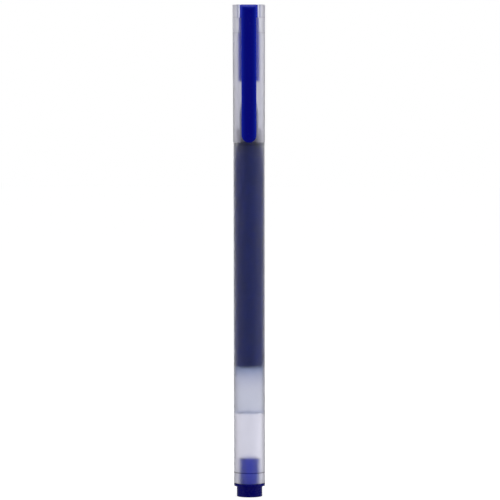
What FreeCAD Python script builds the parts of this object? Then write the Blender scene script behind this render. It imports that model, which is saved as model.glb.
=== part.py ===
import FreeCAD, Part
import math
import os
import re

import Sketcher

# A capped gel pen with a large ink tube, standing tail down.
# +Z runs along the pen from the tail to the cap, z = 0 is the flat end of the tail knob,
# and the clip is on the -Y side. Millimetres throughout.

DIMENSIONS = {
    # tail plug
    "knob_radius": 3.875,
    "knob_height": 3.2,
    "knob_edge_round": 0.25,
    "flange_radius": 4.70,
    "flange_edge_round": 0.12,
    "stem_radius": 3.28,
    "stem_top": 11.8,
    "stem_edge_round": 0.5,
    "stem_bore_radius": 2.2,
    "stem_bore_floor": 2.4,
    "vent_radius": 0.4,
    "vent_offset": 1.5,
    # barrel
    "barrel_bottom": 4.1,
    "barrel_radius": 4.715,
    "barrel_bore_radius": 4.0,
    "collar_seat_radius": 4.30,
    "collar_seat_top": 7.4,
    "inner_shoulder": 106.4,
    "barrel_shoulder": 107.45,
    "neck_radius": 3.75,
    "neck_bore_radius": 3.33,
    "neck_top": 111.7,
    "ridge_radius": 4.0,
    "ridge_first": 108.1,
    "ridge_pitch": 1.2,
    "ridge_width": 0.7,
    # ink tube
    "tube_radius": 3.98,
    "tube_bore_radius": 3.3,
    "tube_collar_radius": 4.28,
    # follower and ink
    "follower_radius": 3.28,
    "follower_bottom": 25.4,
    "follower_top": 39.9,
    "follower_dome": 0.7,
    # tip holder
    "holder_bottom": 103.0,
    "holder_plug_radius": 3.28,
    "holder_radius": 2.90,
    "holder_shoulder": 116.2,
    "holder_mid": 120.5,
    "holder_mid_radius": 2.24,
    "holder_top": 126.3,
    "holder_top_radius": 1.60,
    "plug_bore_radius": 3.02,
    "plug_bore_top": 105.0,
    "feed_radius": 2.50,
    "feed_cone_top": 119.4,
    "feed_cone_radius": 1.95,
    "feed_top": 120.3,
    "seat_hole_radius": 0.45,
    "seat_bottom": 120.8,
    "seat_top": 121.5,
    "chamber_radius": 1.0,
    "nib_bottom": 122.9,
    # check ball
    "check_ball_radius": 0.75,
    "check_ball_gap": 0.02,
    # nib and its ball
    "nib_radius": 1.15,
    "nib_bore_radius": 0.60,
    "nib_bore_top": 127.5,
    "nib_feed_radius": 0.12,
    "nib_slot_width": 0.35,
    "nib_slot_depth": 0.6,
    "nib_cone_bottom": 128.2,
    "nib_rim_radius": 0.33,
    "ball_centre": 130.75,
    "ball_radius": 0.25,
    "ball_gap": 0.012,
    "rim_above_centre": 0.1,
    # nose cone
    "spigot_radius": 3.32,
    "nose_bore_radius": 2.92,
    "nose_radius": 3.68,
    "nose_shoulder": 116.2,
    "nose_mid": 121.5,
    "nose_mid_radius": 2.72,
    "nose_top": 127.6,
    "nose_top_radius": 1.72,
    "nose_mouth_radius": 1.25,
    "nose_wall_gap": 0.06,
    # cap
    "cap_mouth": 107.5,
    "cap_top": 149.0,
    "cap_mouth_radius": 4.805,
    "cap_top_radius": 4.93,
    "cap_bore_radius": 4.06,
    "cap_step": 140.5,
    "cap_socket_radius": 3.25,
    "cap_edge_round": 0.2,
    "slot_width": 5.4,
    "slot_floor": 145.0,
    # blue core of the cap
    "core_bottom": 126.2,
    "core_radius": 3.24,
    "core_bore_radius": 2.3,
    "pad_seat": 134.6,
    "core_upper_bore_radius": 1.85,
    "core_ceiling": 147.5,
    "bridge_root": 2.0,
    # nib seal
    "pad_bottom": 129.9,
    "pad_radius": 2.28,
    "pad_mouth_radius": 0.78,
    "pad_recess_radius": 0.45,
    "pad_recess_top": 131.1,
    # clip
    "clip_width": 4.5,
    "clip_tip": 107.5,
    "clip_front_radius": 7.3,
    "clip_inner": 6.1,
    "knuckle_radius": 1.9,
    "knuckle_gap": 0.04,
    "bump_radius": 1.24,
    "bump_width": 3.0,
    "bump_height": 110.6,
}
RIDGE_COUNT = 3
SMALL = 1e-9
SAME_PLACE = 1e-4

doc = FreeCAD.newDocument("GelPen")
sheet = doc.addObject("Spreadsheet::Sheet", "Dims")
for row, (alias, value) in enumerate(DIMENSIONS.items(), start=1):
    sheet.set(f"A{row}", alias)
    sheet.set(f"B{row}", str(value))
    sheet.setAlias(f"B{row}", alias)
doc.recompute()


def formula(text):
    """Names of dimensions in a formula, pointed at the sheet: every one has an underscore."""
    return re.sub(r"\b[a-z]+(?:_[a-z]+)+\b", lambda name: "Dims." + name[0], str(text))


def number(text):
    """What a formula comes to now, as a plain number."""
    return float(sheet.evalExpression(formula(text)))


# Sketches ---------------------------------------------------------------------------------------

ROOT, V_AXIS, H_AXIS = -1, -2, -1
START, END, CENTRE = 1, 2, 3


def new_body(label):
    body = doc.addObject("PartDesign::Body", label)
    body.Label = label
    return body


def new_sketch(body, name, role):
    """An empty sketch on one of the body's own origin planes."""
    sketch = body.newObject("Sketcher::SketchObject", name)
    plane = next(f for f in body.Origin.OriginFeatures if f.Role == role)
    sketch.AttachmentSupport = [(plane, "")]
    sketch.MapMode = "FlatFace"
    return sketch


def bind(sketch, kind, refs, text):
    """A dimensional constraint that follows a formula."""
    index = sketch.addConstraint(Sketcher.Constraint(kind, *refs, number(text)))
    sketch.setExpression(f"Constraints[{index}]", formula(text))


def place(sketch, side, end, across, up):
    """Holds one end of a side, or a centre, at (across, up); what is 0 sits on the axis."""
    for kind, text, axis in (("DistanceX", across, V_AXIS), ("DistanceY", up, H_AXIS)):
        if str(text) == "0":
            sketch.addConstraint(Sketcher.Constraint("PointOnObject", side, end, axis))
        else:
            bind(sketch, kind, (ROOT, START, side, end), text)


def draw_outline(sketch, corners):
    """A closed outline of straight sides and arcs.

    A corner is (across, up). With a third item, the side that leaves it is an arc whose centre is
    on the vertical axis at that height. Every size is a formula over the sheet.
    """
    sides = []
    for i, corner in enumerate(corners):
        after = corners[(i + 1) % len(corners)]
        here = FreeCAD.Vector(number(corner[0]), number(corner[1]), 0)
        there = FreeCAD.Vector(number(after[0]), number(after[1]), 0)
        if len(corner) == 2:
            side = sketch.addGeometry(Part.LineSegment(here, there), False)
            sides.append((side, START, END))
            continue
        centre = FreeCAD.Vector(0, number(corner[2]), 0)
        circle = Part.Circle(centre, FreeCAD.Vector(0, 0, 1), (here - centre).Length)
        first, last = here - centre, there - centre
        counterclockwise = first.x * last.y - first.y * last.x > 0
        angles = [math.atan2(v.y, v.x) for v in (first, last)]
        if not counterclockwise:
            angles.reverse()
        side = sketch.addGeometry(Part.ArcOfCircle(circle, *angles), False)
        sketch.addConstraint(Sketcher.Constraint("PointOnObject", side, CENTRE, V_AXIS))
        sides.append((side, START, END) if counterclockwise else (side, END, START))
    for i, (side, start, end) in enumerate(sides):
        following, following_start, _ = sides[(i + 1) % len(sides)]
        sketch.addConstraint(
            Sketcher.Constraint("Coincident", side, end, following, following_start)
        )
        place(sketch, side, start, corners[i][0], corners[i][1])


def draw_circle(sketch, across, up, radius):
    centre = FreeCAD.Vector(number(across), number(up), 0)
    circle = Part.Circle(centre, FreeCAD.Vector(0, 0, 1), number(radius))
    side = sketch.addGeometry(circle, False)
    place(sketch, side, CENTRE, across, up)
    bind(sketch, "Radius", (side,), radius)


# Features ---------------------------------------------------------------------------------------


def turned(label, corners):
    """A body turned about the pen's axis from an outline of (radius, height)."""
    body = new_body(label)
    sketch = new_sketch(body, label + "_profile", "XZ_Plane")
    draw_outline(sketch, corners)
    turn = body.newObject("PartDesign::Revolution", label + "_turned")
    turn.Profile = sketch
    turn.ReferenceAxis = (sketch, ["V_Axis"])
    turn.Angle = 360
    sketch.Visibility = False
    doc.recompute()
    return body


def extrude(body, kind, name, sketch, length):
    """A pad or pocket to both sides of its sketch, with a check that it changed the body."""
    before = body.Shape.Volume
    feature = body.newObject(kind, name)
    feature.Profile = sketch
    feature.SideType = "Symmetric"
    feature.setExpression("Length", formula(length))
    sketch.Visibility = False
    doc.recompute()
    if abs(body.Shape.Volume - before) < SMALL:
        raise RuntimeError(f"{name} changed nothing")
    return feature


def pad(body, name, sketch, length):
    return extrude(body, "PartDesign::Pad", name, sketch, length)


def pocket(body, name, sketch, length):
    return extrude(body, "PartDesign::Pocket", name, sketch, length)


def round_edge(body, radius, height, size):
    """Rounds the circular edge of that radius at that height."""
    base = body.Tip
    target = (number(radius), number(height))
    names = []
    for i, edge in enumerate(base.Shape.Edges, start=1):
        if not isinstance(edge.Curve, Part.Circle):
            continue
        found = (edge.Curve.Radius, edge.Curve.Center.z)
        if math.dist(found, target) < SAME_PLACE:
            names.append(f"Edge{i}")
    if not names:
        raise RuntimeError(f"{body.Label} has no edge of radius {target[0]} at {target[1]}")
    rounding = body.newObject("PartDesign::Fillet", f"{body.Label}_round_{len(body.Group)}")
    rounding.Base = (base, names)
    rounding.setExpression("Radius", formula(size))
    doc.recompute()


def primitive(kind, name, sizes, x="0", y="0", z="0"):
    """A Part primitive whose sizes and place follow the sheet."""
    solid = doc.addObject(kind, name)
    for prop, text in sizes.items():
        solid.setExpression(prop, formula(text))
    for letter, text in (("x", x), ("y", y), ("z", z)):
        solid.setExpression(f"Placement.Base.{letter}", formula(text))
    return solid


def along_x(solid):
    """Turns a cylinder's axis from +Z to +X."""
    solid.Placement.Rotation = FreeCAD.Rotation(FreeCAD.Vector(0, 1, 0), 90)
    return solid


def along_y(solid):
    """Turns a cylinder's axis from +Z to -Y."""
    solid.Placement.Rotation = FreeCAD.Rotation(FreeCAD.Vector(1, 0, 0), 90)
    return solid


def boolean(kind, name, base, tool):
    result = doc.addObject(kind, name)
    result.Base = base
    result.Tool = tool
    return result


# Tail -------------------------------------------------------------------------------------------


def make_tail_plug():
    """Knob, flange and hollow stem in one moulding, with an off-centre vent through the knob."""
    plug = turned(
        "tail_plug",
        [
            ("0", "0"),
            ("knob_radius", "0"),
            ("knob_radius", "knob_height"),
            ("flange_radius", "knob_height"),
            ("flange_radius", "barrel_bottom"),
            ("stem_radius", "barrel_bottom"),
            ("stem_radius", "stem_top"),
            ("stem_bore_radius", "stem_top"),
            ("stem_bore_radius", "stem_bore_floor"),
            ("0", "stem_bore_floor"),
        ],
    )
    round_edge(plug, "knob_radius", "0", "knob_edge_round")
    round_edge(plug, "stem_radius", "stem_top", "stem_edge_round")
    round_edge(plug, "flange_radius", "knob_height", "flange_edge_round")
    vent = new_sketch(plug, "vent_profile", "XY_Plane")
    draw_circle(vent, "vent_offset", "0", "vent_radius")
    pocket(plug, "vent", vent, "3 * stem_bore_floor")
    return plug


# Barrel and refill ------------------------------------------------------------------------------


def make_barrel():
    """Outer tube: a collar seat at the tail, a neck with snap ridges at the front."""
    corners = [
        ("collar_seat_radius", "barrel_bottom"),
        ("barrel_radius", "barrel_bottom"),
        ("barrel_radius", "barrel_shoulder"),
        ("neck_radius", "barrel_shoulder"),
    ]
    for i in range(RIDGE_COUNT):
        start = f"ridge_first + {i} * ridge_pitch"
        flank = "(ridge_radius - neck_radius)"
        corners += [
            ("neck_radius", start),
            ("ridge_radius", f"{start} + {flank}"),
            ("ridge_radius", f"{start} + ridge_width - {flank}"),
            ("neck_radius", f"{start} + ridge_width"),
        ]
    corners += [
        ("neck_radius", "neck_top"),
        ("neck_bore_radius", "neck_top"),
        ("neck_bore_radius", "inner_shoulder"),
        ("barrel_bore_radius", "inner_shoulder"),
        ("barrel_bore_radius", "collar_seat_top"),
        ("collar_seat_radius", "collar_seat_top"),
    ]
    return turned("barrel", corners)


def make_ink_tube():
    """Refill tube: its collar is held between the barrel's seat and the plug's flange."""
    return turned(
        "ink_tube",
        [
            ("tube_bore_radius", "barrel_bottom"),
            ("tube_collar_radius", "barrel_bottom"),
            ("tube_collar_radius", "collar_seat_top"),
            ("tube_radius", "collar_seat_top"),
            ("tube_radius", "inner_shoulder"),
            ("tube_bore_radius", "inner_shoulder"),
        ],
    )


def dome_centre():
    """Height of the centre of the ink's rounded lower end, which dishes the follower's top."""
    return (
        "follower_top - follower_dome"
        " + (follower_radius^2 + follower_dome^2) / (2 * follower_dome)"
    )


def make_follower():
    """Grease plug: its lower face is drawn up in the middle, its upper face is dished by the ink."""
    hollow_centre = (
        "follower_bottom + follower_dome"
        " - (follower_radius^2 + follower_dome^2) / (2 * follower_dome)"
    )
    return turned(
        "follower",
        [
            ("follower_radius", "follower_bottom", hollow_centre),
            ("0", "follower_bottom + follower_dome"),
            ("0", "follower_top - follower_dome", dome_centre()),
            ("follower_radius", "follower_top"),
        ],
    )


def make_ink():
    """Ink column between the follower and the tip holder."""
    return turned(
        "ink",
        [
            ("0", "follower_top - follower_dome", dome_centre()),
            ("follower_radius", "follower_top"),
            ("follower_radius", "holder_bottom"),
            ("0", "holder_bottom"),
        ],
    )


# Point ------------------------------------------------------------------------------------------


def make_tip_holder():
    """Plug in the ink tube, then a tapered holder with the ball valve and the nib's socket."""
    return turned(
        "tip_holder",
        [
            ("plug_bore_radius", "holder_bottom"),
            ("holder_plug_radius", "holder_bottom"),
            ("holder_plug_radius", "inner_shoulder"),
            ("holder_radius", "inner_shoulder"),
            ("holder_radius", "holder_shoulder"),
            ("holder_mid_radius", "holder_mid"),
            ("holder_top_radius", "holder_top"),
            ("nib_radius", "holder_top"),
            ("nib_radius", "nib_bottom"),
            ("chamber_radius", "nib_bottom"),
            ("chamber_radius", "seat_top"),
            ("seat_hole_radius", "seat_bottom"),
            ("seat_hole_radius", "feed_top"),
            ("feed_cone_radius", "feed_cone_top"),
            ("feed_radius", "holder_shoulder"),
            ("feed_radius", "inner_shoulder"),
            ("plug_bore_radius", "plug_bore_top"),
        ],
    )


def make_feed_ink():
    """Ink that stands in the tip holder's bore."""
    return turned(
        "feed_ink",
        [
            ("0", "holder_bottom"),
            ("plug_bore_radius", "holder_bottom"),
            ("plug_bore_radius", "plug_bore_top"),
            ("feed_radius", "inner_shoulder"),
            ("feed_radius", "holder_shoulder"),
            ("feed_cone_radius", "feed_cone_top"),
            ("seat_hole_radius", "feed_top"),
            ("0", "feed_top"),
        ],
    )


def make_check_ball():
    """Ball that closes the conical seat when the point is up."""
    seat_slope = "((chamber_radius - seat_hole_radius) / (seat_top - seat_bottom))"
    reach = f"(check_ball_radius + check_ball_gap) * sqrt(1 + {seat_slope}^2)"
    centre = f"seat_bottom + ({reach} - seat_hole_radius) / {seat_slope}"
    ball = primitive("Part::Sphere", "check_ball", {"Radius": "check_ball_radius"}, z=centre)
    ball.Label = "check_ball"
    return ball


def make_nib():
    """Turned steel point, with a socket round its ball and cross slots at its inner end."""
    socket = "(ball_radius + ball_gap)"
    nib = turned(
        "nib",
        [
            ("nib_bore_radius", "nib_bottom"),
            ("nib_radius", "nib_bottom"),
            ("nib_radius", "nib_cone_bottom"),
            ("nib_rim_radius", "ball_centre + rim_above_centre"),
            (
                f"sqrt({socket}^2 - rim_above_centre^2)",
                "ball_centre + rim_above_centre",
                "ball_centre",
            ),
            ("nib_feed_radius", f"ball_centre - sqrt({socket}^2 - nib_feed_radius^2)"),
            ("nib_feed_radius", "nib_bore_top"),
            ("nib_bore_radius", "nib_bore_top"),
        ],
    )
    for role in ("XZ_Plane", "YZ_Plane"):
        slot = new_sketch(nib, f"slot_on_{role}", role)
        draw_outline(
            slot,
            [
                ("-nib_slot_width / 2", "nib_bottom - nib_slot_depth"),
                ("nib_slot_width / 2", "nib_bottom - nib_slot_depth"),
                ("nib_slot_width / 2", "nib_bottom + nib_slot_depth"),
                ("-nib_slot_width / 2", "nib_bottom + nib_slot_depth"),
            ],
        )
        pocket(nib, f"ink_slot_{role}", slot, "4 * nib_radius")
    return nib


def make_writing_ball():
    ball = primitive("Part::Sphere", "writing_ball", {"Radius": "ball_radius"}, z="ball_centre")
    ball.Label = "writing_ball"
    return ball


def make_nose_cone():
    """Clear front section: a spigot that holds the tip holder down, a collar, and a cone."""
    return turned(
        "nose_cone",
        [
            ("nose_bore_radius", "inner_shoulder"),
            ("spigot_radius", "inner_shoulder"),
            ("spigot_radius", "neck_top"),
            ("nose_radius", "neck_top"),
            ("nose_radius", "nose_shoulder"),
            ("nose_mid_radius", "nose_mid"),
            ("nose_top_radius", "nose_top"),
            ("nose_mouth_radius", "nose_top"),
            ("nose_mouth_radius", "holder_top + nose_wall_gap"),
            ("holder_top_radius + nose_wall_gap", "holder_top + nose_wall_gap"),
            ("holder_mid_radius + nose_wall_gap", "holder_mid + nose_wall_gap"),
            ("nose_bore_radius", "holder_shoulder + nose_wall_gap"),
        ],
    )


# Cap --------------------------------------------------------------------------------------------


def make_cap_shell():
    """Clear cap, slightly tapered, with a thick top that holds the core and a slot for the clip."""
    cap = turned(
        "cap_shell",
        [
            ("cap_bore_radius", "cap_mouth"),
            ("cap_mouth_radius", "cap_mouth"),
            ("cap_top_radius", "cap_top"),
            ("cap_socket_radius", "cap_top"),
            ("cap_socket_radius", "cap_step"),
            ("cap_bore_radius", "cap_step"),
        ],
    )
    round_edge(cap, "cap_top_radius", "cap_top", "cap_edge_round")
    slot = new_sketch(cap, "slot_profile", "XY_Plane")
    draw_outline(
        slot,
        [
            ("-slot_width / 2", "-2 * cap_top_radius"),
            ("slot_width / 2", "-2 * cap_top_radius"),
            ("slot_width / 2", "-core_upper_bore_radius"),
            ("-slot_width / 2", "-core_upper_bore_radius"),
        ],
    )
    slot.setExpression("AttachmentOffset.Base.z", formula("cap_top"))
    pocket(cap, "clip_slot", slot, "2 * (cap_top - slot_floor)")
    return cap


def make_cap_insert():
    """Blue core pushed into the cap, with a bridge through the slot to the clip's root."""
    core = turned(
        "cap_insert",
        [
            ("core_bore_radius", "core_bottom"),
            ("core_radius", "core_bottom"),
            ("core_radius", "cap_top"),
            ("0", "cap_top"),
            ("0", "core_ceiling"),
            ("core_upper_bore_radius", "core_ceiling"),
            ("core_upper_bore_radius", "pad_seat"),
            ("core_bore_radius", "pad_seat"),
        ],
    )
    bridge = new_sketch(core, "bridge_profile", "YZ_Plane")
    draw_outline(
        bridge,
        [
            ("-(clip_front_radius - knuckle_radius)", "cap_top - 2 * knuckle_radius"),
            ("-bridge_root", "cap_top - 2 * knuckle_radius"),
            ("-bridge_root", "cap_top"),
            ("-(clip_front_radius - knuckle_radius)", "cap_top"),
        ],
    )
    pad(core, "bridge", bridge, "clip_width")
    seat = new_sketch(core, "knuckle_seat_profile", "YZ_Plane")
    draw_circle(
        seat,
        "-(clip_front_radius - knuckle_radius)",
        "cap_top - knuckle_radius",
        "knuckle_radius + knuckle_gap",
    )
    pocket(core, "knuckle_seat", seat, "2 * clip_width")
    return core


def make_nib_seal():
    """Soft pad in the core, with a recess that the point sits in without touching."""
    return turned(
        "nib_seal",
        [
            ("pad_mouth_radius", "pad_bottom"),
            ("pad_radius", "pad_bottom"),
            ("pad_radius", "pad_seat"),
            ("0", "pad_seat"),
            ("0", "pad_recess_top"),
            ("pad_recess_radius", "pad_recess_top"),
        ],
    )


def make_clip():
    """Flat arm with a crowned face and a round tip, a knuckle at its root and a gripping bump."""
    arm = primitive(
        "Part::Box",
        "clip_arm",
        {
            "Length": "clip_width",
            "Width": "clip_front_radius - clip_inner",
            "Height": "cap_top - knuckle_radius - clip_tip - clip_width / 2",
        },
        x="-clip_width / 2",
        y="-clip_front_radius",
        z="clip_tip + clip_width / 2",
    )
    tip = primitive(
        "Part::Cylinder",
        "clip_tip_end",
        {"Radius": "clip_width / 2", "Height": "clip_front_radius - clip_inner"},
        y="-clip_inner",
        z="clip_tip + clip_width / 2",
    )
    knuckle = primitive(
        "Part::Cylinder",
        "clip_knuckle",
        {"Radius": "knuckle_radius", "Height": "clip_width"},
        x="-clip_width / 2",
        y="-(clip_front_radius - knuckle_radius)",
        z="cap_top - knuckle_radius",
    )
    bump = primitive(
        "Part::Cylinder",
        "clip_bump",
        {"Radius": "bump_radius", "Height": "bump_width"},
        x="-bump_width / 2",
        y="-clip_inner",
        z="bump_height",
    )
    crown = primitive(
        "Part::Cylinder",
        "clip_crown",
        {"Radius": "clip_front_radius", "Height": "cap_top"},
        z="clip_tip",
    )
    along_y(tip)
    along_x(knuckle)
    along_x(bump)
    blank = doc.addObject("Part::MultiFuse", "clip_blank")
    blank.Shapes = [arm, tip, knuckle, bump]
    clip = boolean("Part::Common", "clip", blank, crown)
    clip.Label = "clip"
    return clip


# Build, check, write ----------------------------------------------------------------------------

MAKERS = (
    make_tail_plug,
    make_barrel,
    make_ink_tube,
    make_follower,
    make_ink,
    make_tip_holder,
    make_feed_ink,
    make_check_ball,
    make_nib,
    make_writing_ball,
    make_nose_cone,
    make_cap_shell,
    make_cap_insert,
    make_nib_seal,
    make_clip,
)
subparts = [make() for make in MAKERS]
doc.recompute()

for item in doc.Objects:
    if {"Invalid", "Error"} & set(item.State):
        raise RuntimeError(f"{item.Label} did not recompute: {item.State}")
for part in subparts:
    if part.Shape.isNull() or not part.Shape.isValid() or not part.Shape.Solids:
        raise RuntimeError(f"{part.Label} has no valid solid")

os.makedirs("parts", exist_ok=True)
for part in subparts:
    part.Shape.exportStep(os.path.join("parts", part.Label + ".step"))
    box = part.Shape.BoundBox
    print(
        f"{part.Label:14s} {len(part.Shape.Solids)} solid, {part.Shape.Volume:9.2f} mm3,"
        f" z {box.ZMin:8.2f} to {box.ZMax:8.2f}"
    )
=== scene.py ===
import math

import bmesh
import bpy
import numpy as np
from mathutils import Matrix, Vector


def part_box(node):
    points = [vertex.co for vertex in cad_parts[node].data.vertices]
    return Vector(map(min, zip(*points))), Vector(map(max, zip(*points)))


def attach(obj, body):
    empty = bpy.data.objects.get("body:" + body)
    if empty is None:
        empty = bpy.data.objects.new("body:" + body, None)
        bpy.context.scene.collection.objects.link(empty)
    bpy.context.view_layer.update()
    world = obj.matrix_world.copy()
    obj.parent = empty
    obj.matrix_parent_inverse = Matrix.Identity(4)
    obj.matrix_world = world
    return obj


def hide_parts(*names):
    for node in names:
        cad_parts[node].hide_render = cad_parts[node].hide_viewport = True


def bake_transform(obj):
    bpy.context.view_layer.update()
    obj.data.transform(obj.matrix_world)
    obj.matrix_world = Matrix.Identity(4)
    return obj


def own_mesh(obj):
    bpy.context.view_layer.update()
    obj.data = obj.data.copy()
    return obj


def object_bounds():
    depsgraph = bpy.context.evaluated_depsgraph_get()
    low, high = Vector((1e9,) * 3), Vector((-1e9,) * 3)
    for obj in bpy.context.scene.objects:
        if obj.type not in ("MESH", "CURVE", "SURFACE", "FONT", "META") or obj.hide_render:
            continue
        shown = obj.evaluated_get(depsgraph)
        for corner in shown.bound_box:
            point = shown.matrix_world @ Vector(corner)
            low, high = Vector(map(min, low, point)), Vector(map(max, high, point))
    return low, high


# Looks for a capped gel pen that stands tail down: frosted clear barrel and cap, blue clip, core and
# plug, ink column with its grease follower.

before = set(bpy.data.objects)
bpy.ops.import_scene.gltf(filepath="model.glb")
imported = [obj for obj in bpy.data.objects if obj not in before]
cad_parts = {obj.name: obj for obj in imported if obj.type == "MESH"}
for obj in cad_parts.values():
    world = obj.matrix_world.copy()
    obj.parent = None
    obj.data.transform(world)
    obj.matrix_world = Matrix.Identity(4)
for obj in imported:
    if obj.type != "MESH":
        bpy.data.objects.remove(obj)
cad_box = [list(corner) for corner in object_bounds()]

MM = 0.001
TINY = 1e-6  # a radius or a distance this small counts as none
TURNS = 144  # sides of a turned piece
GAP_SIDES = 24  # sides of the cap that lie across its slot
BACK_SIDES = TURNS - GAP_SIDES
ARC_STEPS = 6  # sides of a rounded corner
SHARP = math.radians(35)  # edges that turn more than this aren't shaded smooth
WETTING = 0.03  # wet and pressed faces reach this far into their wall, so no air film shows
LINING_RADIUS = 4.5  # the barrel's and the cap's bores lie nearer the axis than this
SLOT_HALF_WIDTH = 2.7  # the slot in the cap's top that the clip's root sits in
SLOT_FLOOR = 145.0
LEFT_GLOW, RIGHT_GLOW = 1.25, 1.6  # brightness seen through the pen towards each side
BACK_GLOW = 0.7  # brightness of the backdrop mirrored in the pen
SKY_GLOW = 0.6  # brightness that lights the pen from all round
FAINT = (0.1, 0.1, 0.1, 1.0)  # what is left of a clear wall's own reflection


# Outlines -----------------------------------------------------------------------------------------

# Each outline is closed and lists (radius, height above the tail's end).

# The tail plug's knob and flange, hollow from above, and its thin stem.
PLUG = [(0, 0), (3.875, 0), (3.875, 3.2), (4.70, 3.2), (4.70, 4.1), (2.2, 4.1), (2.2, 2.4), (0, 2.4)]
STEM = [(3.28, 4.1), (3.28, 11.8), (2.2, 11.8), (2.2, 4.1)]

# The ink tube, with the collar at its rear end.
TUBE = [(4.34, 4.1), (4.34, 7.4), (4.04, 7.4), (4.04, 106.4), (3.3, 106.4), (3.3, 4.1)]

# The cap's shell, its blue core and the pad in the core that the point rests under.
CAP = [(4.805, 107.5), (4.93, 149.0), (3.25, 149.0), (3.25, 140.5), (4.06, 140.5), (4.06, 107.5)]
CORE = [
    (3.24, 126.2),
    (3.24, 149.0),
    (0, 149.0),
    (0, 147.5),
    (1.85, 147.5),
    (1.85, 134.6),
    (2.3, 134.6),
    (2.3, 126.2),
]
SEAL = [(0, 134.6), (2.28, 134.6), (2.28, 129.9), (0.78, 129.9), (0.45, 131.1), (0, 131.1)]

# The ink that fills the tip holder.
FEED = [
    (0, 103),
    (3.02, 103),
    (3.02, 105),
    (2.50, 106.4),
    (2.50, 116.2),
    (1.95, 119.4),
    (0.45, 120.3),
    (0, 120.3),
]


def barrel_outline():
    """The barrel, with the three snap ridges of its neck."""
    neck = [(4.715, 107.45), (3.75, 107.45)]
    for z in (108.1, 109.3, 110.5):
        neck += [(3.75, z), (4.0, z + 0.25), (4.0, z + 0.45), (3.75, z + 0.7)]
    inside = [(3.33, 106.4), (4.0, 106.4), (4.0, 7.4), (4.30, 7.4), (4.30, 4.1)]
    return [(4.715, 4.1), *neck, (3.75, 111.7), (3.33, 111.7), *inside]


def holder_outline():
    """The tip holder: plug, straight front, cone, and the bore with its valve chamber."""
    plug = [(3.3 + WETTING, 103), (3.3 + WETTING, 106.4), (2.90, 106.4)]
    outside = [(2.90, 116.2), (2.24, 120.5), (1.60, 126.3), (1.15, 126.3), (1.15, 122.9)]
    valve = [(1.0, 122.9), (1.0, 121.5), (0.45, 120.8), (0.45, 120.3)]
    bore = [(1.95, 119.4), (2.50, 116.2), (2.50, 106.4), (3.02, 105), (3.02, 103)]
    return [*plug, *outside, *valve, *bore]


def nose_outline():
    """The clear nose: a spigot in the barrel's neck, a collar and a cone round the tip holder.

    A thin air film is left round the holder, except below the barrel's shoulder.
    """
    spigot = [(3.33 + WETTING, 106.4), (3.33 + WETTING, 111.7)]
    outside = [(3.68, 111.7), (3.68, 116.2), (2.72, 121.5)]
    mouth = [(1.72, 127.6), (1.25, 127.6), (1.25, 126.36)]
    inside = [(1.66, 126.36), (2.30, 120.56), (2.92, 116.26)]
    film = [(2.92, 107.9), (2.90 - WETTING, 107.4)]
    return [(2.90 - WETTING, 106.4), *spigot, *outside, *mouth, *inside, *film]


def domed(rim_height, middle_height, radius, steps=8):
    """Points from the middle of a shallow dome out to its rim."""
    points = []
    for k in range(steps + 1):
        across = radius * k / steps
        rise = (middle_height - rim_height) * (1 - (across / radius) ** 2)
        points.append((across, rim_height + rise))
    return points


# The grease and the ink column share the dome between them.
INK_FACE = domed(39.9, 39.2, 3.28)
GREASE = [*domed(25.4, 26.1, 3.28), *reversed(INK_FACE)]
COLUMN = [*INK_FACE, (3.28, 103), (0, 103)]


def rounded(outline, size):
    """A closed outline with its sharp corners rounded to about size, as a mould leaves them."""
    sharp, share, least = math.radians(20), 0.4, 1e-4  # smallest turn, largest part of a side, in mm
    points = [np.array(p, float) for p in outline]
    made = []
    for i, here in enumerate(points):
        back, on = points[i - 1] - here, points[(i + 1) % len(points)] - here
        a, b = np.linalg.norm(back), np.linalg.norm(on)
        if here[0] < TINY or min(a, b) < TINY:
            made.append(here)
            continue
        back, on = back / a, on / b
        between = math.acos(max(-1.0, min(1.0, float(back @ on))))
        turn = math.pi - between
        wanted = size / math.tan(between / 2) if between > 1e-3 else 0
        reach = min(wanted, share * a, share * b)
        if turn < sharp or reach < least:
            made.append(here)
            continue
        radius = reach * math.tan(between / 2)
        centre = here + (back + on) / np.linalg.norm(back + on) * radius / math.sin(between / 2)
        start = here + back * reach - centre
        way = math.copysign(1.0, float(-back[0] * on[1] + back[1] * on[0]))
        for k in range(ARC_STEPS + 1):
            t = way * turn * k / ARC_STEPS
            turned = (
                start[0] * math.cos(t) - start[1] * math.sin(t),
                start[0] * math.sin(t) + start[1] * math.cos(t),
            )
            made.append(centre + np.array(turned))
    return [(max(0.0, float(r)), float(z)) for r, z in made]


# Meshes -------------------------------------------------------------------------------------------


def new_object(name, bm):
    """A scene object from a bmesh in mm, scaled to metres, smooth except at sharp edges."""
    bmesh.ops.recalc_face_normals(bm, faces=bm.faces)
    bmesh.ops.scale(bm, vec=(MM, MM, MM), verts=bm.verts)
    mesh = bpy.data.meshes.new(name)
    bm.to_mesh(mesh)
    bm.free()
    mesh.shade_smooth()
    mesh.set_sharp_from_angle(angle=SHARP)
    obj = bpy.data.objects.new(name, mesh)
    bpy.context.scene.collection.objects.link(obj)
    return obj


def add_face(bm, corners):
    """A face through the corners, without repeats; too few left make no face."""
    kept = [v for i, v in enumerate(corners) if v is not corners[i - 1]]
    if len(kept) > 2:
        bm.faces.new(kept)


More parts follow.
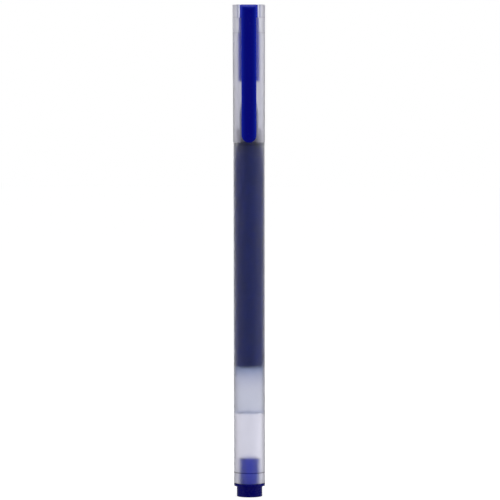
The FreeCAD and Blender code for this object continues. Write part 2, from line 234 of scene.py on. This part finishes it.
def lathe(name, outline, turns=TURNS):
    """A closed outline turned about the pen's axis."""
    bm = bmesh.new()
    rings = []
    for radius, height in outline:
        if radius < TINY:
            rings.append([bm.verts.new((0, 0, height))] * turns)
            continue
        angles = (2 * math.pi * k / turns for k in range(turns))
        rings.append(
            [bm.verts.new((radius * math.cos(a), radius * math.sin(a), height)) for a in angles]
        )
    for i, ring in enumerate(rings):
        below = rings[i - 1]
        if ring[0] is ring[1] and below[0] is below[1]:
            continue
        for k in range(turns):
            after = (k + 1) % turns
            add_face(bm, [below[k], below[after], ring[after], ring[k]])
    return new_object(name, bm)


def settle(obj):
    """Leaves the modifiers' result as the object's own mesh."""
    graph = bpy.context.evaluated_depsgraph_get()
    mesh = bpy.data.meshes.new_from_object(obj.evaluated_get(graph), depsgraph=graph)
    obj.modifiers.clear()
    obj.data = mesh
    return obj


def bevelled(obj, width, segments=3, angle=40):
    """Rounds the object's sharp edges to that width, in mm."""
    bevel = obj.modifiers.new("bevel", "BEVEL")
    bevel.width = width * MM
    bevel.segments = segments
    bevel.limit_method = "ANGLE"
    bevel.angle_limit = math.radians(angle)
    return settle(obj)


# Materials ----------------------------------------------------------------------------------------


class Paint:
    """A Principled material with room for its pattern nodes."""

    def __init__(self, name, **sockets):
        self.material = bpy.data.materials.new(name)
        self.material.use_nodes = True
        self.nodes = self.material.node_tree.nodes
        self.links = self.material.node_tree.links
        self.shader = self.nodes["Principled BSDF"]
        for socket, value in sockets.items():
            self.shader.inputs[socket.replace("_", " ")].default_value = value

    def place(self):
        """The piece's own coordinates, in metres."""
        return self.nodes.new("ShaderNodeTexCoord").outputs["Object"]

    def noise(self, size, detail=3.0, stretch=(1, 1, 1)):
        """Noise whose grains are about size mm, as a value round 0.5."""
        mapping = self.nodes.new("ShaderNodeMapping")
        mapping.inputs["Scale"].default_value = stretch
        self.links.new(self.place(), mapping.inputs["Vector"])
        noise = self.nodes.new("ShaderNodeTexNoise")
        noise.inputs["Scale"].default_value = 1 / (size * MM)
        noise.inputs["Detail"].default_value = detail
        self.links.new(mapping.outputs["Vector"], noise.inputs["Vector"])
        return noise.outputs["Fac"]

    def spread(self, value, low, high):
        """A pattern's values from 0.3 to 0.7, where most of them lie, spread from low to high."""
        node = self.nodes.new("ShaderNodeMapRange")
        node.inputs["From Min"].default_value = 0.3
        node.inputs["From Max"].default_value = 0.7
        node.inputs["To Min"].default_value = low
        node.inputs["To Max"].default_value = high
        self.links.new(value, node.inputs["Value"])
        return node.outputs["Result"]

    def roughness(self, value, low, high):
        """Roughness that follows a pattern from low to high."""
        self.links.new(self.spread(value, low, high), self.shader.inputs["Roughness"])
        return self

    def bump(self, value, height, strength=1.0):
        """Relief of a pattern, height mm deep."""
        node = self.nodes.new("ShaderNodeBump")
        node.inputs["Distance"].default_value = height * MM
        node.inputs["Strength"].default_value = strength
        self.links.new(value, node.inputs["Height"])
        self.links.new(node.outputs["Normal"], self.shader.inputs["Normal"])
        return self

    def tones(self, value, stops):
        """Base colour from a ramp of (position, (r, g, b)) over a pattern."""
        ramp = self.nodes.new("ShaderNodeValToRGB")
        elements = ramp.color_ramp.elements
        while len(elements) < len(stops):
            elements.new(0.5)
        for element, (position, colour) in zip(elements, stops):
            element.position = position
            element.color = (*colour, 1)
        self.links.new(value, ramp.inputs["Fac"])
        self.links.new(ramp.outputs["Color"], self.shader.inputs["Base Color"])
        return self

    def seams_and_shade(self, heights, width, shade):
        """Dims the tone in rings at those heights, in mm: dark closed joints, and painted shade in
        gaps and where a part behind the wall keeps light off it.
        """
        split = self.nodes.new("ShaderNodeSeparateXYZ")
        self.links.new(self.place(), split.inputs["Vector"])
        tone = self.shader.inputs["Base Color"].links[0].from_socket
        for height in heights:
            ring = self.nodes.new("ShaderNodeMath")
            ring.operation = "COMPARE"
            ring.inputs[1].default_value = height * MM
            ring.inputs[2].default_value = width * MM / 2
            self.links.new(split.outputs["Z"], ring.inputs[0])
            light = self.nodes.new("ShaderNodeMapRange")
            light.inputs["To Min"].default_value = 1.0
            light.inputs["To Max"].default_value = shade
            self.links.new(ring.outputs["Value"], light.inputs["Value"])
            dimmed = self.nodes.new("ShaderNodeVectorMath")
            dimmed.operation = "SCALE"
            self.links.new(tone, dimmed.inputs["Vector"])
            self.links.new(light.outputs["Result"], dimmed.inputs["Scale"])
            tone = dimmed.outputs["Vector"]
        self.links.new(tone, self.shader.inputs["Base Color"])
        return self

    def between(self, value, low, high):
        """0 where a length is low and 1 where it is high, both in mm."""
        node = self.nodes.new("ShaderNodeMapRange")
        node.inputs["From Min"].default_value = low * MM
        node.inputs["From Max"].default_value = high * MM
        self.links.new(value, node.inputs["Value"])
        return node.outputs["Result"]

    def height(self, low, high):
        """0 at height low and 1 at height high, in mm, on the piece's own axis."""
        split = self.nodes.new("ShaderNodeSeparateXYZ")
        self.links.new(self.place(), split.inputs["Vector"])
        return self.between(split.outputs["Z"], low, high)


def near(colour, by):
    """Two tones of one colour, darker and lighter by that share, for a faint mottle."""
    return [
        (0.35, tuple(c * (1 - by) for c in colour)),
        (0.65, tuple(min(1.0, c * (1 + by)) for c in colour)),
    ]


def frosted_plastic(name, colour, rough, clarity, sheen):
    """Clear plastic from a finely blasted mould: rough see-through with a satin grain."""
    paint = Paint(name, IOR=1.49, Transmission_Weight=clarity, Specular_Tint=FAINT)
    paint.shader.inputs["Sheen Weight"].default_value = sheen
    paint.shader.inputs["Sheen Roughness"].default_value = 0.4
    paint.tones(paint.noise(size=4.0), near(colour, 0.015))
    paint.roughness(paint.noise(size=0.35), *rough)
    return paint.bump(paint.noise(size=0.08, detail=2.0), height=0.004, strength=0.5)


def clear_plastic(name, colour, rough):
    """Polished clear plastic with faint flow marks along the pen."""
    paint = Paint(name, IOR=1.49, Transmission_Weight=1.0, Specular_Tint=FAINT)
    paint.tones(paint.noise(size=5.0), near(colour, 0.01))
    paint.roughness(paint.noise(size=1.5), *rough)
    flow = paint.noise(size=1.2, detail=2.0, stretch=(1, 1, 0.1))
    return paint.bump(flow, height=0.006, strength=0.4).material


def glossy(paint, rough):
    """The surface of a glossy moulding, with faint flow streaks."""
    paint.roughness(paint.noise(size=0.6), *rough)
    streaks = paint.noise(size=0.5, detail=2.0, stretch=(1, 1, 0.3))
    return paint.bump(streaks, height=0.004, strength=0.35).material


def blue_plastic(name, colour, rough, clarity=0.0):
    """Dyed glossy moulding; with clarity, light comes through it."""
    paint = Paint(name, IOR=1.5, Specular_IOR_Level=0.1, Transmission_Weight=clarity)
    paint.tones(paint.noise(size=3.0, stretch=(1, 1, 0.25)), near(colour, 0.06))
    return glossy(paint, rough)


def clip_plastic(half, top):
    """The clip's blue, lighter at its edges and bend: painted highlight where they catch the side
    lights, and thinner plastic there.
    """
    paint = Paint("clip_blue", IOR=1.5, Specular_IOR_Level=0.12)
    split = paint.nodes.new("ShaderNodeSeparateXYZ")
    paint.links.new(paint.place(), split.inputs["Vector"])
    aside = paint.nodes.new("ShaderNodeMath")
    aside.operation = "ABSOLUTE"
    paint.links.new(split.outputs["X"], aside.inputs[0])
    edge = paint.between(aside.outputs["Value"], low=0.4 * half, high=half)
    bend = paint.between(split.outputs["Z"], low=top - 1.8, high=top - 0.5)
    thin_and_lit = paint.nodes.new("ShaderNodeMath")
    thin_and_lit.operation = "MAXIMUM"
    paint.links.new(edge, thin_and_lit.inputs[0])
    paint.links.new(bend, thin_and_lit.inputs[1])
    # Streaks of tone, plus the painted highlight of the edges and bend.
    streaks = paint.nodes.new("ShaderNodeMath")
    streaks.operation = "MULTIPLY_ADD"
    paint.links.new(paint.noise(size=2.0, stretch=(1, 1, 0.2)), streaks.inputs[0])
    streaks.inputs[1].default_value = 0.12  # how much the streaks shift the tone
    paint.links.new(thin_and_lit.outputs["Value"], streaks.inputs[2])
    # The lighter stops are the painted highlight on the edges and bend.
    stops = [
        (0.04, (0.0, 0.0008, 0.176)),
        (0.55, (0.0006, 0.004, 0.21)),
        (0.85, (0.004, 0.012, 0.28)),
        (1.0, (0.014, 0.024, 0.36)),
    ]
    paint.tones(streaks.outputs["Value"], stops)
    return glossy(paint, rough=(0.18, 0.28))


def ink_paint(name, colour):
    """Dark blue ink against its wall: no surface of its own, a little cloudy."""
    paint = Paint(name, IOR=1.34, Specular_IOR_Level=0.1)
    paint.tones(paint.noise(size=2.5), near(colour, 0.12))
    return paint.roughness(paint.noise(size=0.8), low=0.35, high=0.5).material


def grease_paint(low, high):
    """Pale grease between those heights, stained by the ink at its top."""
    paint = Paint("grease", IOR=1.1, Transmission_Weight=0.95, Specular_Tint=FAINT)
    stops = [
        (0.05, (0.70, 0.75, 0.87)),
        (0.08, (0.90, 0.94, 0.98)),
        (0.5, (0.90, 0.93, 0.97)),
        (0.75, (0.72, 0.76, 0.88)),
        (0.92, (0.36, 0.44, 0.62)),
        (1.0, (0.10, 0.13, 0.24)),
    ]
    paint.tones(paint.height(low, high), stops)
    return paint.roughness(paint.noise(size=0.9), low=0.3, high=0.5).material


def metal(name, colour, rough):
    """Turned metal with fine rings round the axis."""
    paint = Paint(name, Metallic=1.0)
    paint.tones(paint.noise(size=0.4), near(colour, 0.05))
    rings = paint.noise(size=0.25, detail=2.0, stretch=(0.02, 0.02, 1))
    paint.roughness(rings, *rough)
    return paint.bump(rings, height=0.002, strength=0.5).material


def elastomer():
    """Soft milky rubber."""
    paint = Paint("elastomer", IOR=1.45, Specular_IOR_Level=0.3, Subsurface_Weight=0.2)
    paint.shader.inputs["Subsurface Radius"].default_value = (0.5 * MM, 0.5 * MM, 0.6 * MM)
    paint.tones(paint.noise(size=0.8), near((0.62, 0.64, 0.68), 0.04))
    paint.roughness(paint.noise(size=0.3), low=0.5, high=0.7)
    return paint.bump(paint.noise(size=0.15), height=0.01, strength=0.4).material


# Pieces -------------------------------------------------------------------------------------------


def line_faces(obj, material, chosen):
    """Gives the faces whose middles, in mm, are chosen a material of their own."""
    obj.data.materials.append(material)
    for face in obj.data.polygons:
        if chosen(face.center / MM):
            face.material_index = len(obj.data.materials) - 1


def is_lining(middle):
    """Whether a face lies inside the barrel or the cap, or on the barrel's slim neck."""
    return math.hypot(middle.x, middle.y) < LINING_RADIUS


def is_slot_edge(middle):
    """Whether a face belongs to the rounded edges of the cap's slot."""
    start, end = 0.02, 0.3  # how far beside the slot the rounding lies
    beside = start < abs(middle.x) - SLOT_HALF_WIDTH < end
    return beside and middle.y < 0 and middle.z > SLOT_FLOOR - end


def finish_piece(obj, material, body, node):
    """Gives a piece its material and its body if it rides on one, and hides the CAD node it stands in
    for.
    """
    obj.data.materials.clear()
    obj.data.materials.append(material)
    if body:
        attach(obj, body)
    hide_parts(node)
    return obj


def turned_piece(name, node, outline, material, body, soft=0.0, swell=0.0):
    """A turned piece with soft edges in a CAD node's place; swell wets a filling onto its wall."""
    if swell:
        outline = [(r + swell if r > TINY else r, z) for r, z in outline]
    if soft:
        outline = rounded(outline, soft)
    return finish_piece(lathe(name, outline), material, body, node)


def level_at_slot(outline):
    """The outline with a point added wherever it crosses the slot's floor."""
    level = []
    for i, here in enumerate(outline):
        before = outline[i - 1]
        if (before[1] - SLOT_FLOOR) * (here[1] - SLOT_FLOOR) < 0:
            t = (SLOT_FLOOR - before[1]) / (here[1] - before[1])
            level.append((before[0] + t * (here[0] - before[0]), SLOT_FLOOR))
        level.append(here)
    return level


def slotted_ring(bm, radius, height):
    """Points from one side of the slot round to the other, and across it up to its floor."""
    edge = math.asin(min(1.0, SLOT_HALF_WIDTH / radius))
    angles = [edge + (2 * math.pi - 2 * edge) * k / BACK_SIDES for k in range(BACK_SIDES + 1)]
    if height <= SLOT_FLOOR + TINY:
        angles += [-edge + 2 * edge * k / GAP_SIDES for k in range(1, GAP_SIDES)]
    return [bm.verts.new((radius * math.sin(a), -radius * math.cos(a), height)) for a in angles]


def close_slot(bm, level, rings):
    """The slot's two sides and its floor."""
    above = [i for i, (_, z) in enumerate(level) if z >= SLOT_FLOOR - TINY]
    first = next(i for i in above if level[i - 1][1] < SLOT_FLOOR - TINY)
    order = [(first + k) % len(level) for k in range(len(above))]
    for column in (0, BACK_SIDES):
        add_face(bm, [rings[i][column] for i in order])
    outer, inner = rings[order[0]], rings[order[-1]]
    rim = [*range(BACK_SIDES, TURNS), 0]
    for a, b in zip(rim, rim[1:]):
        add_face(bm, [outer[a], outer[b], inner[b], inner[a]])


def make_cap_shell(material):
    """The cap: a turned shell with a parallel-sided slot at the top of its front."""
    level = level_at_slot(rounded(CAP, 0.08))
    bm = bmesh.new()
    rings = [slotted_ring(bm, radius, height) for radius, height in level]
    for i, ring in enumerate(rings):
        below = rings[i - 1]
        count = min(len(ring), len(below))
        closed = count == TURNS
        for k in range(count if closed else BACK_SIDES):
            after = (k + 1) % count
            add_face(bm, [below[k], below[after], ring[after], ring[k]])
    close_slot(bm, level, rings)
    cap = bevelled(new_object("cap_shell_clear", bm), 0.12)
    return finish_piece(cap, material, "cap", "cap_shell")


class ClipStrip:
    """The clip's sizes, and the paths along its outer and inner faces from tip to root."""

    thick = 1.2
    bend, fillet = 1.9, 0.9  # radii outside and inside the bend
    root, root_depth = 2.2, 3.6  # where the root ends in front of the axis, and how tall it is
    sunk = 0.06  # how far the root's top lies below the cap's
    bump_height, bump_half = 3.1, 1.7  # the inner bump's middle above the tip, and half its length
    bump_rise, bump_flat = 1.17, 1.5  # how far it stands out, and half the width of its flat
    arm_rows, bend_rows, root_rows = 70, 12, 6
    rows = arm_rows + bend_rows + root_rows
    columns = 24

    def __init__(self):
        low, high = (np.array(corner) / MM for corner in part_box("clip"))
        self.half, self.front, self.tip, self.top = high[0], -low[1], low[2], high[2]
        self.bend_z = self.top - self.bend
        self.back_z = self.top - self.root_depth - self.fillet

    def height(self, x, row, end):
        """Height of a row of the arm, which starts at the round tip."""
        t = row / self.arm_rows
        start = self.tip + self.half - math.sqrt(max(0.0, self.half**2 - x**2))
        return start + (end - start) * (0.35 * t + 0.65 * t * t)  # closer together at the tip

    def bend_angle(self, row):
        return math.pi / 2 * (row - self.arm_rows) / self.bend_rows

    def root_share(self, row):
        return (row - self.arm_rows - self.bend_rows) / self.root_rows

    def outside(self, x, row):
        """Depth and height on the crowned outer face."""
        crown = self.front - math.sqrt(self.front**2 - x**2)
        if row <= self.arm_rows:
            return -self.front + crown, self.height(x, row, self.bend_z)
        if row <= self.arm_rows + self.bend_rows:
            a = self.bend_angle(row)
            reach = self.bend - crown * math.cos(a)
            y = -self.front + self.bend - reach * math.cos(a)
            return y, self.bend_z + reach * math.sin(a) - self.sunk * math.sin(a)
        run = self.front - self.bend - self.root
        return -self.front + self.bend + run * self.root_share(row), self.top - self.sunk

    def inside(self, x, row):
        """Depth and height on the inner face, with the bump that grips the pocket."""
        if row <= self.arm_rows:
            z = self.height(x, row, self.back_z)
            away = (z - self.tip - self.bump_height) / self.bump_half
            swell = math.cos(math.pi / 2 * away) ** 0.7 if abs(away) < 1 else 0.0
            past = max(0.0, (abs(x) - self.bump_flat) / (self.half - self.bump_flat))
            side = max(0.0, 1 - past**2)
            return -self.front + self.thick + self.bump_rise * swell * side, z
        start = -self.front + self.thick + self.fillet
        if row <= self.arm_rows + self.bend_rows:
            a = self.bend_angle(row)
            return start - self.fillet * math.cos(a), self.back_z + self.fillet * math.sin(a)
        return start + (-self.root - start) * self.root_share(row), self.top - self.root_depth

    def mesh(self):
        """The strip between the two faces, closed at its sides and ends."""
        bm = bmesh.new()
        turns = (math.pi * c / self.columns for c in range(self.columns + 1))
        across = [-self.half * math.cos(turn) for turn in turns]
        outer, inner = (
            [[bm.verts.new((x, *path(x, row))) for x in across] for row in range(self.rows + 1)]
            for path in (self.outside, self.inside)
        )
        for grid in (outer, inner):
            for a, b in zip(grid, grid[1:]):
                for c in range(self.columns):
                    add_face(bm, [a[c], a[c + 1], b[c + 1], b[c]])
        for k in range(self.rows):
            for c in (0, self.columns):
                add_face(bm, [outer[k][c], outer[k + 1][c], inner[k + 1][c], inner[k][c]])
        for k in (0, self.rows):
            for c in range(self.columns):
                add_face(bm, [outer[k][c], outer[k][c + 1], inner[k][c + 1], inner[k][c]])
        return bm


def make_clip(material):
    """The clip: one strip with a round tip, bent over into the cap's slot."""
    strip = ClipStrip()
    clip = bevelled(new_object("clip_strip", strip.mesh()), 0.24, segments=4, angle=50)
    finish_piece(clip, material, None, "clip")
    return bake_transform(clip)


def cut_hole(obj, across, radius, low, high):
    """Cuts a round hole along Z through the object."""
    bm = bmesh.new()
    bmesh.ops.create_cone(
        bm, cap_ends=True, segments=32, radius1=radius, radius2=radius, depth=high - low
    )
    bmesh.ops.translate(bm, vec=(across, 0, (low + high) / 2), verts=bm.verts)
    drill = new_object("drill", bm)
    cut = obj.modifiers.new("hole", "BOOLEAN")
    cut.operation = "DIFFERENCE"
    cut.object = drill
    settle(obj)
    bpy.data.objects.remove(drill)
    return obj


def repaint(node, material):
    """A CAD node whose mesh stays as it is gets a better material in its object's slot."""
    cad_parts[node].material_slots[0].material = material


# The pen ------------------------------------------------------------------------------------------


PEN = "pen_body"  # the body that the barrel and all that is fixed in it ride on
BARREL_TINT = (0.875, 0.865, 0.905)


def build_body():
    """The barrel, the tube in it, and the nose with the tip holder."""
    frost = frosted_plastic("barrel_plastic", BARREL_TINT, (0.42, 0.50), clarity=0.992, sheen=0.34)
    frost.seams_and_shade([7.4], width=0.3, shade=0.3)
    # Painted shade: a darker band on the barrel just under the cap's mouth, in the gap between cap and
    # barrel.
    frost.seams_and_shade([107.0], width=0.9, shade=0.75)
    outline = barrel_outline()
    barrel = turned_piece(
        "barrel_clear", "barrel", outline, frost.material, PEN, soft=0.08
    )
    line_faces(barrel, clear_plastic("barrel_inside", BARREL_TINT, (0.04, 0.08)), is_lining)

    clear = clear_plastic("tube_plastic", (0.93, 0.94, 0.97), (0.06, 0.12))
    turned_piece("ink_tube_clear", "ink_tube", TUBE, clear, PEN, soft=0.08)

    clear = clear_plastic("nose_plastic", (0.93, 0.94, 0.96), (0.03, 0.08))
    outline = nose_outline()
    turned_piece("nose_cone_clear", "nose_cone", outline, clear, PEN, soft=0.08)
    outline = holder_outline()
    turned_piece("tip_holder_clear", "tip_holder", outline, clear, PEN, soft=0.04)


def build_filling():
    """The feed's ink, the ink column, and the grease behind it."""
    # The feed's ink is the column's ink painted lighter: painted light making up for what the holder's
    # walls keep from it.
    ink = ink_paint("feed_ink", (0.018, 0.040, 0.33))
    turned_piece("feed_ink_fill", "feed_ink", FEED, ink, PEN, swell=WETTING)

    ink = ink_paint("ink", (0.0100, 0.0250, 0.200))
    column = turned_piece("ink_column", "ink", COLUMN, ink, PEN, swell=WETTING)
    low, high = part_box("ink")
    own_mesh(column)

    follower_box = [corner[2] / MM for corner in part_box("follower")]
    grease = grease_paint(*follower_box)
    turned_piece(
        "follower_grease", "follower", GREASE, grease, "follower_plug", swell=WETTING
    )


def build_tail():
    """The tail plug, as its stem and its knob with the vent hole."""
    blue = blue_plastic("stem_blue", (0.20, 0.26, 0.85), (0.5, 0.6), clarity=1.0)
    turned_piece("tail_stem_blue", "tail_plug", STEM, blue, PEN, soft=0.4)
    blue = blue_plastic("plug_blue", (0.0005, 0.0005, 0.10), (0.2, 0.32))
    plug = turned_piece("tail_plug_blue", "tail_plug", PLUG, blue, PEN, soft=0.12)
    cut_hole(plug, across=1.5, radius=0.4, low=-1.0, high=3.5)


def build_cap():
    """The cap with its core, the pad under the point and the clip."""
    frost = frosted_plastic("cap_plastic", (0.62, 0.615, 0.675), (0.28, 0.33), clarity=0.93, sheen=0.0)
    frost.seams_and_shade([140.5, 145.2], width=0.3, shade=0.8)
    # Painted shade: a broad darker band over the cap's thick top, where the core close behind it keeps
    # light off the wall.
    frost.seams_and_shade([144.8], width=8.5, shade=0.93)
    cap = make_cap_shell(frost.material)
    line_faces(cap, clear_plastic("cap_inside", (0.80, 0.80, 0.86), (0.04, 0.08)), is_lining)
    # Painted highlight: the slot's rounded edges get a pale, nearly opaque frost, so they show as
    # bright slits.
    edge = frosted_plastic("cap_edge_highlight", (0.74, 0.76, 0.98), (0.5, 0.6), clarity=0.2, sheen=0.3)
    line_faces(cap, edge.material, is_slot_edge)

    blue = blue_plastic("core_blue", (0.02, 0.035, 0.55), (0.2, 0.3))
    turned_piece("cap_core_blue", "cap_insert", CORE, blue, "cap", soft=0.1)
    turned_piece("nib_seal_pad", "nib_seal", SEAL, elastomer(), "cap", soft=0.12)
    clip_box = [np.array(corner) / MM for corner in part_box("clip")]
    make_clip(clip_plastic(half=clip_box[1][0], top=clip_box[1][2]))


def build_point():
    """The metal pieces, which keep their CAD shapes."""
    steel = metal("point_steel", (0.62, 0.61, 0.58), (0.15, 0.3))
    repaint("nib", steel)
    repaint("check_ball", steel)
    repaint("writing_ball", metal("ball_carbide", (0.35, 0.35, 0.37), (0.08, 0.15)))


# Studio -------------------------------------------------------------------------------------------


def make_world():
    """White where it is seen; seen through the pen or mirrored in it, it differs by direction."""
    world = bpy.data.worlds.new("studio")
    bpy.context.scene.world = world
    world.use_nodes = True
    nodes, links = world.node_tree.nodes, world.node_tree.links
    path = nodes.new("ShaderNodeLightPath")
    way = nodes.new("ShaderNodeSeparateXYZ")
    links.new(nodes.new("ShaderNodeTexCoord").outputs["Generated"], way.inputs["Vector"])

    def glow(axis, low, high, start=-1.0):
        """Brightness from low to high along a direction."""
        node = nodes.new("ShaderNodeMapRange")
        node.inputs["From Min"].default_value = start
        node.inputs["To Min"].default_value = low
        node.inputs["To Max"].default_value = high
        links.new(way.outputs[axis], node.inputs["Value"])
        return node.outputs["Result"]

    def side_glow():
        """Brightness behind the pen: plain in the middle, other values towards the sides."""
        ramp = nodes.new("ShaderNodeValToRGB")
        elements = ramp.color_ramp.elements
        elements.new(0.5)
        for element, value in zip(elements, (LEFT_GLOW, 1.0, RIGHT_GLOW)):
            element.color = (value, value, value, 1)
        links.new(glow("X", 0.0, 1.0), ramp.inputs["Fac"])
        return ramp.outputs["Color"]

    strength = glow("Y", 0.0, BACK_GLOW, start=0.0)
    shares = {
        "Is Diffuse Ray": glow("Z", SKY_GLOW, SKY_GLOW),
        "Is Transmission Ray": side_glow(),
        "Is Camera Ray": glow("Z", 1.0, 1.0),
    }
    for kind, share in shares.items():
        choice = nodes.new("ShaderNodeMix")
        links.new(path.outputs[kind], choice.inputs["Factor"])
        links.new(strength, choice.inputs["A"])
        links.new(share, choice.inputs["B"])
        strength = choice.outputs["Result"]
    backdrop = nodes["Background"]
    backdrop.inputs["Color"].default_value = (1, 1, 1, 1)
    links.new(strength, backdrop.inputs["Strength"])


def make_floor():
    """A plain pale floor under the pen."""
    bm = bmesh.new()
    half_side, gap = 4000, 0.02  # mm; the pen stands just clear of the floor
    bmesh.ops.create_grid(bm, x_segments=8, y_segments=8, size=half_side)
    bmesh.ops.translate(bm, vec=(0, 0, -gap), verts=bm.verts)
    floor = new_object("floor", bm)
    paint = Paint("floor_paint", Roughness=0.9, Specular_IOR_Level=0.1)
    paint.tones(paint.noise(size=400.0), near((0.3, 0.3, 0.3), 0.005))
    paint.shader.inputs["Emission Color"].default_value = (1, 1, 1, 1)
    paint.shader.inputs["Emission Strength"].default_value = 0.82
    floor.data.materials.append(paint.material)
    floor.visible_glossy = False
    floor.visible_transmission = False


def make_light(name, place, size, power):
    """A soft rectangular light aimed at the middle of the pen."""
    aim = Vector((0, 0, 0.075))
    lamp = bpy.data.lights.new(name, "AREA")
    lamp.shape = "RECTANGLE"
    lamp.size, lamp.size_y = size
    lamp.energy = power
    obj = bpy.data.objects.new(name, lamp)
    obj.location = place
    obj.rotation_euler = (aim - Vector(place)).to_track_quat("-Z", "Y").to_euler()
    bpy.context.scene.collection.objects.link(obj)


def make_camera():
    """A long lens, a little above the pen's middle, looking along +Y and slightly down."""
    low, high = (Vector(corner) for corner in cad_box)
    right, up = 0.00025, 0.0004  # how far the aim lies from the pen's middle
    centre = Vector((right, 0, (low.z + high.z) / 2 + up))
    distance = 0.88
    elevation, roll = math.radians(2.6), math.radians(-0.09)
    camera = bpy.data.cameras.new("camera")
    camera.lens = 209
    camera.clip_start = 0.01
    obj = bpy.data.objects.new("camera", camera)
    away = Vector((0, -math.cos(elevation), math.sin(elevation)))
    obj.location = centre + away * distance
    obj.rotation_euler = (-away).to_track_quat("-Z", "Y").to_euler()
    obj.rotation_euler.rotate_axis("Z", roll)
    bpy.context.scene.collection.objects.link(obj)
    bpy.context.scene.camera = obj


build_body()
build_filling()
build_tail()
build_cap()
build_point()
make_world()
make_floor()
make_light("key_right", place=(0.55, -0.15, 0.25), size=(0.4, 0.9), power=1.2)
make_light("fill_left", place=(-0.55, -0.2, 0.2), size=(0.4, 0.9), power=0.7)
make_light("top", place=(0, 0.1, 0.7), size=(0.5, 0.5), power=1.5)
make_camera()
bpy.context.scene.view_settings.view_transform = "Standard"
